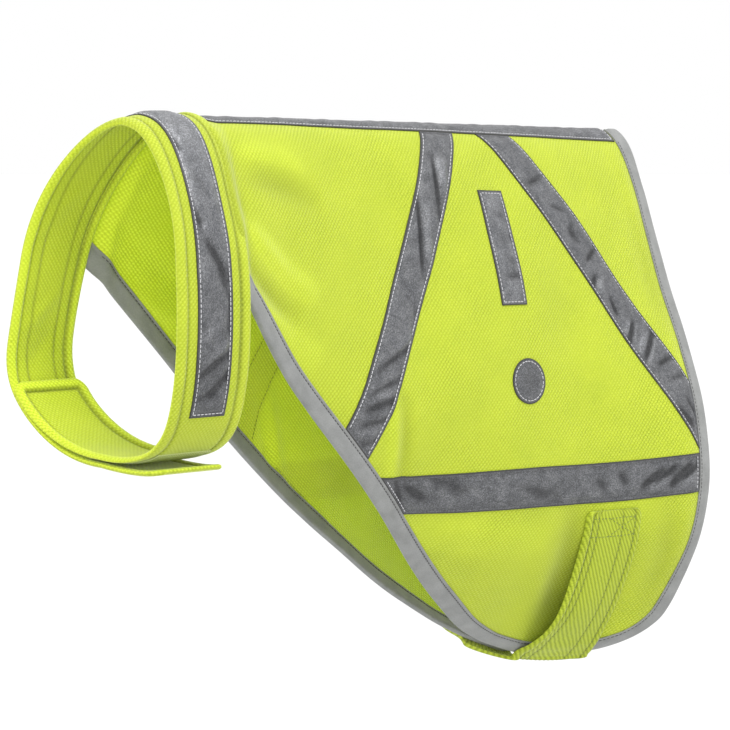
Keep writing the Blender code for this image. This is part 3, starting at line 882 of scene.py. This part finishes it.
def to_binding(start, heading):
    """Where a straight line on the flat cloth comes up to the inner edge of the binding."""
    line = edge_line(BINDING_SHOWN - 0.1)
    start = np.array(start, float)
    heading = unit(np.array(heading, float))
    across = np.array([-heading[1], heading[0]])
    offset = (line - start) @ across
    along = (line - start) @ heading
    crossing = [k for k in range(len(line) - 1) if offset[k] * offset[k + 1] <= 0 and along[k] > 0]
    k = min(crossing, key=lambda place: along[place])
    share = offset[k] / (offset[k] - offset[k + 1])
    return start + heading * (along[k] + share * (along[k + 1] - along[k]))


def tape_height(edge, creases):
    """The top of a sewn tape over the cloth: low at its edge, lower in its seam, and full between seams."""
    groove = 0.3 * np.exp(-((edge - SEAM_INSET) / 0.7) ** 2)
    full = 0.9 * ease((edge - SEAM_INSET) / 5)
    rounded = 0.2 * np.exp(-edge / 0.25)
    return TAPE_LIFT + TAPE_SHOWN + full - groove - rounded + creases * ease((edge - 0.6) / 2.5)


def tape_painted_shade(edge, creases):
    """The painted shade of a point of a tape: darker deep in a crease or seam, a painted highlight on a
    ridge.
    """
    seam = 0.25 * np.exp(-((edge - SEAM_INSET) / 0.9) ** 2)
    deep = np.clip(-creases / 1.9, 0, 1) ** 1.2 - np.clip(creases / 1.8, 0, 0.6)
    return deep * ease((edge - 0.6) / 2.5) + seam


def crumple(x, depth):
    """The tape's small unevenness."""
    fine = 0.16 * np.sin(x / 3.1 + depth / 4.7) * np.sin(depth / 2.9 - x / 6.1)
    bent = np.sin(x / 7.3 - depth / 5.1 + 1.3 * np.sin(depth / 9.1))
    return fine + 0.2 * bent * np.sin(x / 4.9 + depth / 11)


def tape_rows(length, step=1.6):
    """Places along a tape, closer at its ends and edges where it is rolled."""
    count = max(4, round((length - 6) / step))
    return np.concatenate([[0, 0.3, 0.9, 1.5, 1.9, 2.4], np.linspace(3, length - 3, count),
                           [length - 2.4, length - 1.9, length - 1.5, length - 0.9, length - 0.3, length]])


def sewn_tape(name, node, carry, corners, side, flipped, fine_ends=True, shade=0.0):
    """A tape between four corners on the cloth, with creases, a rolled edge and the lines of its seam, which
    goes along the ends only where they are fine. Shade is how much darker the whole tape is made, below zero
    lighter."""
    upper_front, upper_rear, lower_front, lower_rear = (np.array(corner, float) for corner in corners)
    long = (np.linalg.norm(lower_front - upper_front) + np.linalg.norm(lower_rear - upper_rear)) / 2
    wide = (np.linalg.norm(upper_rear - upper_front) + np.linalg.norm(lower_rear - lower_front)) / 2
    down = tape_rows(long)[:, None, None] / long
    over = tape_rows(wide, 1.3)[None, :, None] / wide

    def place(down, over):
        upper = upper_front * (1 - over) + upper_rear * over
        lower = lower_front * (1 - over) + lower_rear * over
        return upper * (1 - down) + lower * down

    flat = place(down, over)
    slope = abs(np.cross(unit(lower_front - upper_front), unit(upper_rear - upper_front)))
    across = np.minimum(over[..., 0], 1 - over[..., 0]) * wide * slope + 0 * down[..., 0]
    ends = np.minimum(down[..., 0], 1 - down[..., 0]) * long * slope + 0 * over[..., 0]
    edge = np.minimum(across, ends)
    x, depth = flat[..., 0], flat[..., 1]
    shift = MIRROR_SHIFT[side]
    creases = relief(TAPE_FOLDS, x + shift[0], depth + shift[1]) * CREASE_TALLER + crumple(x, depth)
    top = np.maximum(tape_height(edge, creases), TAPE_LIFT)
    coordinates = np.stack([x, depth * SIDES[side], edge], -1)
    # Painted shade in creases and the seam, a painted highlight on ridges, and the whole tape's darkening.
    painted_shade = tape_painted_shade(edge, creases) + shade
    outer, inner = carry(x, depth, top), carry(x, depth, TAPE_UNDER)
    made = wall(name, outer, inner, TAPE_LOOK, coordinates, flipped, painted_shade)
    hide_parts(node)
    low, near = SEAM_INSET / (slope * long), SEAM_INSET / (slope * wide)
    turns = ((low, near), (1 - low, near), (1 - low, 1 - near), (low, 1 - near), (low, near))
    ring = [place(*turn) for turn in turns]
    lines = [np.linspace(a, b, max(3, int(np.linalg.norm(b - a) / 3))) for a, b in zip(ring, ring[1:])]
    if not fine_ends:
        lines = [lines[0], lines[2]]
    return made, lines


def coat_tapes(side):
    """All the tapes of one half, with their threads outside and inside."""
    carry = on_side(side)
    flipped = side == "right"
    pieces, threads = [], []

    def lay(name, corners, fine_ends, shade):
        made, lines = sewn_tape(
            f"{name}_{side}_sewn", f"{name}_{side}", carry, corners, side, flipped, fine_ends, shade)
        pieces.append(made)
        threads.extend(lines)

    slants = (("front_tape", FRONT_TAPE_X, -FRONT_TAPE_SLANT), ("rear_tape", REAR_TAPE_X, REAR_TAPE_SLANT))
    for name, start, slant in slants:
        lean = math.tan(math.radians(slant))
        half = TAPE / 2 / math.cos(math.radians(slant))
        top = TAPE / 2 + GAP
        uppers = [(start + lean * top + edge, top) for edge in (-half, half)]
        lay(name, uppers + [to_binding(upper, (lean, 1)) for upper in uppers], False, 0.12)
    ends = [[to_binding((BAR_X, depth), (heading, 0)) for heading in (-1, 1)]
            for depth in (LOW_TAPE_DEPTH, LOW_TAPE_DEPTH + TAPE)]
    lay("lower_tape", (*ends[0], *ends[1]), False, 0.25)
    width, length = BAR_SIZE
    corners = [(BAR_X + over * width / 2, BAR_DEPTH + down * length) for down in (0, 1) for over in (-1, 1)]
    lay("bar", corners, True, -0.1)
    made, lines = dot(side, carry, flipped)
    pieces.append(made)
    threads.extend(lines)
    under = -CLOTH_SHOWN - 0.05
    pieces.append(stitches(f"tape_stitches_{side}", carry, threads, SEAM_HEIGHT, WHITE_THREAD))
    pieces.append(stitches(f"tape_back_stitches_{side}", carry, threads, under, OLIVE_THREAD, 3.0, 2.4, 0.22))
    return pieces


def dot(side, carry, flipped):
    """The round tape under the bar: a square grid drawn in to a circle."""
    steps = np.sin(np.linspace(-np.pi / 2, np.pi / 2, 33))
    down, over = np.meshgrid(steps, steps, indexing="ij")
    x = DOT_X + DOT_RADIUS * over * np.sqrt(1 - down ** 2 / 2)
    depth = DOT_DEPTH + DOT_RADIUS * down * np.sqrt(1 - over ** 2 / 2)
    edge = DOT_RADIUS - np.hypot(x - DOT_X, depth - DOT_DEPTH)
    creases = relief(TAPE_FOLDS, x, depth) + crumple(x, depth)
    top = np.maximum(tape_height(edge, creases), TAPE_LIFT)
    coordinates = np.stack([x, depth * SIDES[side], edge], -1)
    outer, inner = carry(x, depth, top), carry(x, depth, TAPE_UNDER)
    # Painted shade in creases and the seam, a painted highlight on ridges, and the whole dot made darker.
    painted_shade = tape_painted_shade(edge, creases) + 0.25
    made = wall(f"dot_{side}_sewn", outer, inner, TAPE_LOOK, coordinates, flipped, painted_shade)
    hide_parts(f"dot_{side}")
    turn = np.linspace(0, 2 * np.pi, 60)
    radius = DOT_RADIUS - SEAM_INSET
    return made, [np.stack([DOT_X + radius * np.cos(turn), DOT_DEPTH + radius * np.sin(turn)], -1)]


def spine_tape():
    """The tape over the seam along the back."""
    nape = BACK_HEIGHT - BACK_FALL * NECK_X
    front = band_x(-TAPE / 2, nape) + BAND / 2 + GAP
    rear = TAIL_X - BINDING - GAP
    half = TAPE / 2
    corners = ((front, -half), (rear, -half), (front, half), (rear, half))
    made, lines = sewn_tape("spine_tape_sewn", "spine_tape", on_spine, corners, "left", False, True)
    threads = stitches("spine_stitches", on_spine, lines, SEAM_HEIGHT, WHITE_THREAD)
    return [made, threads]


# The neck band
BAND_SEAM = 7
BAND_CORNER = 9
ROLL_OUTSIDE = 1.8
ROLL_INSIDE = 2.5
FLAT = 0.85
ON_BAND = FLAT - 0.1
# In the closure the band's two layers touch, so the rolls between them are flatter.
CLOSURE_FROM = 168
CLOSURE_FLATTER = 0.9


def band_face(edge, rolled):
    """How far the band's face stands off its wall's middle: a rolled border, a seam and a flat middle."""
    roll = rolled * np.sqrt(np.clip(1 - (1 - edge / (BAND_SEAM / 2)) ** 2, 0, 1)) ** 0.8
    inner = FLAT * ease((edge - BAND_SEAM) / 1.6)
    return np.where(edge < BAND_SEAM, np.maximum(roll, 0.3), np.maximum(inner, 0.3))


def seam_at(distance, width=0.8):
    """A soft dip along a seam, from 0 to 1."""
    return np.exp(-(distance / width) ** 2)


def band_uneven(way, over):
    """The band's folds and its small unevenness."""
    return relief(BAND_FOLDS, over, way) + 0.22 * np.sin(way / 9) * np.sin(over / 7 + way / 31)


def seam_ring(low, high, place, count):
    """The closed seam round a strip, from low to high along it and at a place on both sides of its middle."""
    ring = [(low, -place), (high, -place), (high, place), (low, place), (low, -place)]
    return [np.linspace(a, b, count) for a, b in zip(ring, ring[1:])]


def band_wall():
    """The double band with its rolled borders, seams and round corners, and its stitches."""
    left_end = HALF_RING + LEFT_REACH
    right_end = -(HALF_RING + RIGHT_REACH)
    ends = np.array([0, 0.12, 0.4, 0.9, 1.6, 2.5, 3.5, 4.6, 5.6, 6.4, 7.0, 7.6, 8.6])
    inner_rows = np.linspace(right_end + 10, left_end - 10, 320)
    way = np.concatenate([right_end + ends, inner_rows, left_end - ends[::-1]])[:, None]
    half = BAND / 2
    over = np.concatenate([ends - half, np.linspace(10 - half, half - 10, 26), half - ends[::-1]])[None, :]
    way, over = np.broadcast_arrays(way, over)
    from_end = np.minimum(left_end - way, way - right_end)
    half_here = round_end(half, BAND_CORNER, from_end)
    over = over * half_here / half
    edge = np.minimum(half_here - abs(over), from_end)
    uneven = band_uneven(way, over) * ease(edge / 8)
    flatter = CLOSURE_FLATTER * ease((abs(way) - CLOSURE_FROM) / 12)
    outer_lift = band_face(edge, ROLL_OUTSIDE - flatter * (way > 0))
    lapped = ease((over - half + COAT_LAP + 1) / 3)
    lapped = lapped * np.where(way > 0, lap_share("left", way), lap_share("right", -way))
    outer_lift = outer_lift * (1 - lapped) + np.minimum(outer_lift, 0.3) * lapped + uneven * 0.5
    back_seam = seam_at(np.maximum(abs(over) - TAPE / 2, abs(way) - NECK_TAPE_DEPTH) + SEAM_INSET)
    inner_lift = band_face(edge, ROLL_INSIDE - flatter * (way < 0)) - 0.35 * back_seam - uneven
    coordinates = np.stack([over, way, 0 * way], -1)
    # Painted shade along the seams, a painted highlight on the rolled borders and painted glow inside.
    border_seam = seam_at(edge - BAND_SEAM, 1.1)
    rolled_border = seam_at(edge - BAND_SEAM / 2, 2.2)
    painted_shade = border_seam - 0.08 * rolled_border
    painted_shade_inside = 0.8 * np.maximum(border_seam, back_seam * 0.8) - 0.3 * rolled_border + PAINTED_INSIDE_GLOW / 2
    outer, inner = on_band(way, over, outer_lift), on_band(way, over, -inner_lift)
    made = wall("neck_band_sewn", outer, inner, CLOTH, coordinates, False, painted_shade, painted_shade_inside)
    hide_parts("neck_band")
    lines = seam_ring(right_end + BAND_SEAM, left_end - BAND_SEAM, half - BAND_SEAM, 200)
    return [made] + [stitches(f"band_stitches_{face}", on_band, lines, height, LIME_THREAD, 2.8, 2.2, 0.26)
                     for face, height in (("outer", 0.35), ("inner", -0.35))]


def band_strip(start, end, width, step):
    """Grids of a strip laid along the middle of the band: the way, the place across and the edge distance."""
    way = (tape_rows(end - start) + start)[:, None]
    over = (tape_rows(width, step) - width / 2)[None, :]
    way, over = np.broadcast_arrays(way, over)
    return way, over, np.minimum(width / 2 - abs(over), np.minimum(way - start, end - way))


def neck_tape():
    """The tape round the outside of the band, which follows the band's folds, with its threads."""
    way, over, edge = band_strip(-NECK_TAPE_DEPTH, NECK_TAPE_DEPTH, TAPE, 1.3)
    creases = relief(NECK_TAPE_FOLDS, over, way) * CREASE_TALLER + crumple(over, way)
    lower = ON_BAND + 0.5 * band_uneven(way, over)
    top = lower + np.maximum(tape_height(edge, creases), TAPE_LIFT)
    coordinates = np.stack([over, way, edge], -1)
    # Painted shade in creases and seams; painted light too: lighter at the upward-facing nape, darker low
    # down.
    painted_shade = tape_painted_shade(edge, creases) - 0.6 * (1 - ease(abs(way) / 110)) + 0.4 * ease((abs(way) - 100) / 80)
    outer, inner = on_band(way, over, top), on_band(way, over, lower)
    made = wall("neck_tape_sewn", outer, inner, TAPE_LOOK, coordinates, False, painted_shade)
    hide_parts("neck_tape")
    end = NECK_TAPE_DEPTH - SEAM_INSET
    lines = seam_ring(-end, end, TAPE / 2 - SEAM_INSET, 150)
    threads = stitches("neck_tape_stitches", on_band, lines, ON_BAND + SEAM_HEIGHT, WHITE_THREAD)
    back = stitches("neck_tape_back_stitches", on_band, lines, -0.5, LIME_THREAD, 2.8, 2.2, 0.22)
    return [made, threads, back]


def hook_patch():
    """The hook tape in the gap of the lap."""
    way, over, edge = band_strip(HOOK_FROM, HOOK_TO, HOOK_WIDTH, 1.5)
    top = ON_BAND + np.minimum(tape_height(edge, 0 * edge), 0.9)
    coordinates = np.stack([over, way, edge], -1)
    outer, inner = on_band(way, over, top), on_band(way, over, ON_BAND)
    made = wall("hook_patch_sewn", outer, inner, HOOK_LOOK, coordinates)
    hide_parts("neck_hook_patch")
    return [made]


NECK_TAPE_FOLDS = (
    Fold(-13, 22, -8, 40, 2.4, -1.2),
    Fold(-5, 52, 4, 70, 2.4, -0.6),
    Fold(-13, 70, -6, 92, 2.4, -1.1, 1),
    Fold(-12, 82, -2, 84, 2.0, -0.8),
    Fold(-6, 92, 10, 120, 3.2, -1.8, 1),
    Fold(2, 112, 12, 128, 2.4, -0.9),
    Fold(13, 122, 9, 146, 2.6, -1.0),
    Fold(-12, 150, 2, 140, 2.6, 0.5),
    Fold(-12, 172, 13, 156, 2.6, -1.4, 2),
    Fold(-10, 164, 10, 150, 2.6, 0.7),
    Fold(-2, 182, 13, 166, 2.6, -1.5, 1),
    Fold(-12, 182, 4, 176, 2.2, -0.8),
    Fold(-8, -40, 8, -58, 3, -0.9),
    Fold(-12, -84, 4, -102, 3, -1.2),
    Fold(-4, -120, 12, -138, 3, -1.1),
    Fold(-12, -158, 10, -170, 2.6, -1.3),
    Fold(-6, -150, 12, -160, 2.6, 0.6),
)
BAND_FOLDS = (
    Fold(-20, -96, 4, -62, 6, -0.9),
    Fold(-16, -150, 10, -124, 5, -1.2),
    Fold(-10, -170, 12, -146, 5, 0.8),
    Fold(-18, -206, 8, -182, 6, -0.8),
    Fold(-20, 150, 14, 190, 8, -0.6),
    Fold(-20, 236, 18, 262, 7, -0.7),
)


# The belly strap: its round corners, how much its front part widens towards the belly edge, its seams with
# their depths, and the boxes sewn at its ends
STRAP_CORNER = 4
STRAP_SPREAD = 0.4
STRAP_SEAMS = (
    (-STRAP / 2 + 4.4, 0.6), (-STRAP / 2 + 8.6, 0.4), (STRAP / 2 - 4.2, 0.4), (STRAP / 2 - 13.5, 0.35))
STRAP_BOX = 12


def strap_flank(side, height, over, count):
    """A strap's stretch on one flank, from its sewn end with round corners to just past the belly edge."""
    share = np.concatenate([[0, 0.003, 0.008, 0.015, 0.024], np.linspace(0.036, 1, count - 5)])[:, None]
    over = over * round_end(STRAP / 2, STRAP_CORNER, share * STRAP_FLANK) / (STRAP / 2)
    over = np.where(over < 0, over * (1 + STRAP_SPREAD * share ** 2), over)
    x = STRAP_X + over
    if side == "right":
        x = x - STRAP_SLANT
    depth = STRAP_DEPTH + share * (lowest_depth(0, x) + STRAP_WALL - STRAP_DEPTH)
    over_edge = LAID_GAP + TAPE_WALL + GAP
    bow = (STRAP_BOW - STRAP_TWIST * over) * np.sin(np.pi * share ** 1.4) ** 2
    clear = LAID_GAP + (over_edge - LAID_GAP) * share + bow
    return on_side(side)(x - STRAP_LEAN * (1 - share), depth, clear + height + 0 * x)


def strap_surface(height, over, count=60, turn=44):
    """A face of the strap from its left end to its right end, at points across it."""
    left, right = (strap_flank(side, height, over, count) for side in ("left", "right"))
    leave = unit(left[-1] - left[-2])
    arrive = unit(right[-2] - right[-1])
    gap = right[-1, :, 1:2] - left[-1, :, 1:2]
    pull = np.minimum(2 * gap, STRAP_PULL)
    t = np.linspace(0, 1, turn)[1:-1, None, None]
    bend = left[-1] * (1 + 2 * t) * (1 - t) ** 2 + right[-1] * (3 - 2 * t) * t ** 2
    bend += pull * (leave * t * (1 - t) ** 2 - arrive * t ** 2 * (1 - t))
    return np.concatenate([left, bend, right[::-1]])


def belly_strap():
    """The webbing with its turned edges, seams and sewn ends."""
    half = STRAP / 2
    over = np.concatenate([[-half, -half + 0.3, -half + 0.9], np.linspace(-half + 1.6, half - 1.6, 48),
                           [half - 0.9, half - 0.3, half]])
    edge = half - abs(over)
    rounded = np.sqrt(np.clip(1 - (1 - np.clip(edge / 1.0, 0, 1)) ** 2, 0, 1))
    front_roll, rear_roll = (over + half) / 4.2, (half - over) / 3.6
    profile = 0.35 + 1.35 * rounded + 1.5 * np.sin(np.pi * np.clip(front_roll, 0, 1)) ** 0.8
    profile += 0.5 * np.sin(np.pi * np.clip(rear_roll, 0, 1))
    seams = sum(deep * seam_at(over - place) for place, deep in STRAP_SEAMS)
    profile = profile - seams
    outer = strap_surface(profile, over)
    inner = strap_surface(0 * over, over)
    steps = np.linalg.norm(np.diff(outer[:, len(over) // 2], axis=0), axis=1)
    along = np.concatenate([[0], np.cumsum(steps)])
    coordinates = np.stack(np.broadcast_arrays(over[None, :], along[:, None], edge[None, :]), -1)
    # Painted shade in the strap's seams.
    made = wall("belly_strap_sewn", outer, inner, WEBBING_LOOK, coordinates, False, 1.6 * seams[None, :])
    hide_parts("belly_strap")
    rows, columns = outer.shape[:2]

    def on_strap(way, across, height=0.0):
        """Between the strap's outer points, by the way along it and the place across it."""
        row = np.interp(way, along, np.arange(rows))
        column = np.interp(across, over, np.arange(columns))
        i = np.clip(row.astype(int), 0, rows - 2)
        j = np.clip(column.astype(int), 0, columns - 2)
        v = (row - i)[..., None]
        u = (column - j)[..., None]
        face, back = (
            (grid[i, j] * (1 - u) + grid[i, j + 1] * u) * (1 - v)
            + (grid[i + 1, j] * (1 - u) + grid[i + 1, j + 1] * u) * v for grid in (outer, inner))
        return face + unit(face - back) * np.asarray(height)[..., None]

    total = along[-1]
    ends = [[(3, place), (total - 3, place)] for place, _ in STRAP_SEAMS]
    low, high = STRAP_SEAMS[0][0], STRAP_SEAMS[2][0]
    for start, heading in ((5, 1), (total - 5, -1)):
        a, b = start, start + STRAP_BOX * heading
        ends += [[(a, low), (a, high)], [(b, low), (b, high)]]
        ends += [[(a, high), (b, low + STRAP_BOX)], [(a, low + STRAP_BOX), (b, high)]]
    lines = [np.linspace(p, q, 80) for p, q in ends]
    threads = stitches("strap_stitches", on_strap, lines, 0.1, OLIVE_THREAD, 2.6, 1.7, 0.3)
    return [made, threads], total


# Camera, light and floor
def set_camera():
    turn, rise = math.radians(CAMERA_TURN), math.radians(CAMERA_RISE)
    forward = Vector((math.sin(turn) * math.cos(rise), math.cos(turn) * math.cos(rise), -math.sin(rise)))
    data = bpy.data.cameras.new("camera")
    data.sensor_width = SENSOR
    data.lens = LENS
    camera = bpy.data.objects.new("camera", data)
    camera.location = CAMERA_TARGET - forward * CAMERA_DISTANCE
    camera.rotation_mode = "QUATERNION"
    camera.rotation_quaternion = forward.to_track_quat("-Z", "Y")
    bpy.context.scene.collection.objects.link(camera)
    bpy.context.scene.camera = camera


def set_studio():
    """A white room, soft lights and a pale floor."""
    scene = bpy.context.scene
    scene.view_settings.view_transform = "Standard"
    world = bpy.data.worlds.new("studio")
    world.use_nodes = True
    background = world.node_tree.nodes["Background"]
    background.inputs["Color"].default_value = (1, 1, 1, 1)
    background.inputs["Strength"].default_value = 1.0
    scene.world = world
    for light in LIGHTS:
        data = bpy.data.lights.new(light.name, "SUN")
        data.energy = light.strength
        data.angle = math.radians(light.spread)
        lamp = bpy.data.objects.new(light.name, data)
        lamp.rotation_mode = "QUATERNION"
        lamp.rotation_quaternion = Vector(light.source).to_track_quat("Z", "Y")
        scene.collection.objects.link(lamp)
    turn = np.linspace(0, 2 * np.pi, 96, endpoint=False)
    rim = np.stack([np.cos(turn) * FLOOR_RADIUS, np.sin(turn) * FLOOR_RADIUS, 0 * turn + FLOOR_LEVEL], -1)
    data = bpy.data.meshes.new("floor")
    data.from_pydata(rim.tolist(), [], [list(range(len(rim)))])
    data.materials.append(Look("floor", 0.9, Base_Color=(0.70, 0.70, 0.70, 1)).made)
    floor = bpy.data.objects.new("floor", data)
    scene.collection.objects.link(floor)


set_camera()
set_studio()

CLOTH = knit_cloth()
TAPE_LOOK = reflective_tape()
BINDING_LOOK = grey_binding()
WEBBING_LOOK = webbing()
HOOK_LOOK = hook_tape()
WHITE_THREAD = thread("white_thread", (0.60, 0.60, 0.62))
DARK_THREAD = thread("dark_thread", (0.05, 0.05, 0.05))
OLIVE_THREAD = thread("olive_thread", (0.16, 0.21, 0.01))
LIME_THREAD = thread("lime_thread", (0.30, 0.37, 0.012))

spine = spine_tape()
for side in SIDES:
    half = coat_half(side)
    trims = edge_binding(side) + coat_tapes(side)
    if side == "left":
        trims += spine
band_pieces = band_wall() + neck_tape() + hook_patch()
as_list(band_pieces[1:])
strap_pieces, strap_length = belly_strap()
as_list(strap_pieces[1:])
